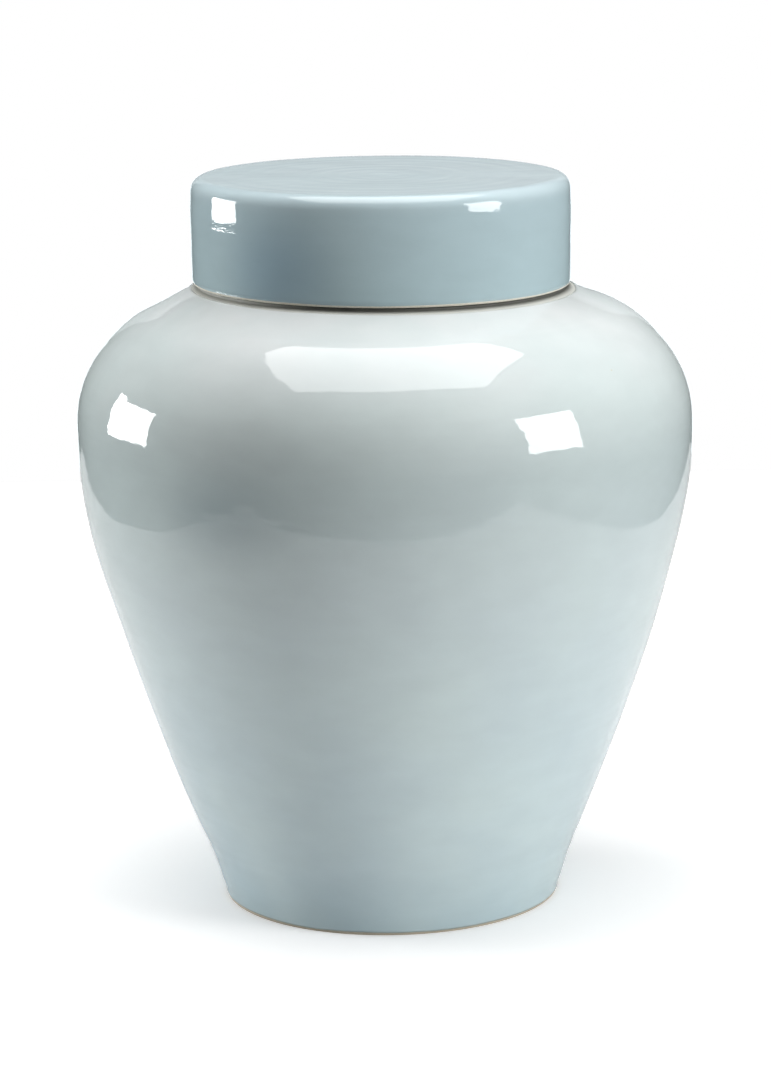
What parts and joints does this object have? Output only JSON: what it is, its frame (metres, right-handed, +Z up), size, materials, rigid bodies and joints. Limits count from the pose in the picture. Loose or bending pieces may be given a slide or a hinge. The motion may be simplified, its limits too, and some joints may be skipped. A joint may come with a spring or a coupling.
{
  "type": "ginger jar",
  "caption": "Tall round-shouldered glazed jar that tapers to a plain foot, with a flat-topped drum lid that lifts off an upright neck.",
  "frame": {"origin": "centre of the foot ring, on the surface that the jar stands on", "axes": "+Z up along the jar's axis of revolution, towards the lid; X and Y are any two level directions, because the jar is round"},
  "size_m": [0.3418, 0.3418, 0.406],
  "materials": {
    "bare_clay": "matte",
    "jar_glaze": "gloss",
    "lid_glaze": "gloss",
    "inside_glaze": "gloss"
  },
  "bodies": {
    "jar": {"jar_body": "bare_clay", "jar_outer_glaze": "jar_glaze", "jar_inner_glaze": "inside_glaze", "jar_base_glaze": "inside_glaze"},
    "lid": {"lid_body": "bare_clay", "lid_outer_glaze": "lid_glaze", "lid_inner_glaze": "inside_glaze"}
  },
  "joints": [
    {"name": "lid_lift", "type": "slide", "parent": "jar", "child": "lid", "axis": [0, 0, 1], "range_m": [0, 0.15]}
  ]
}
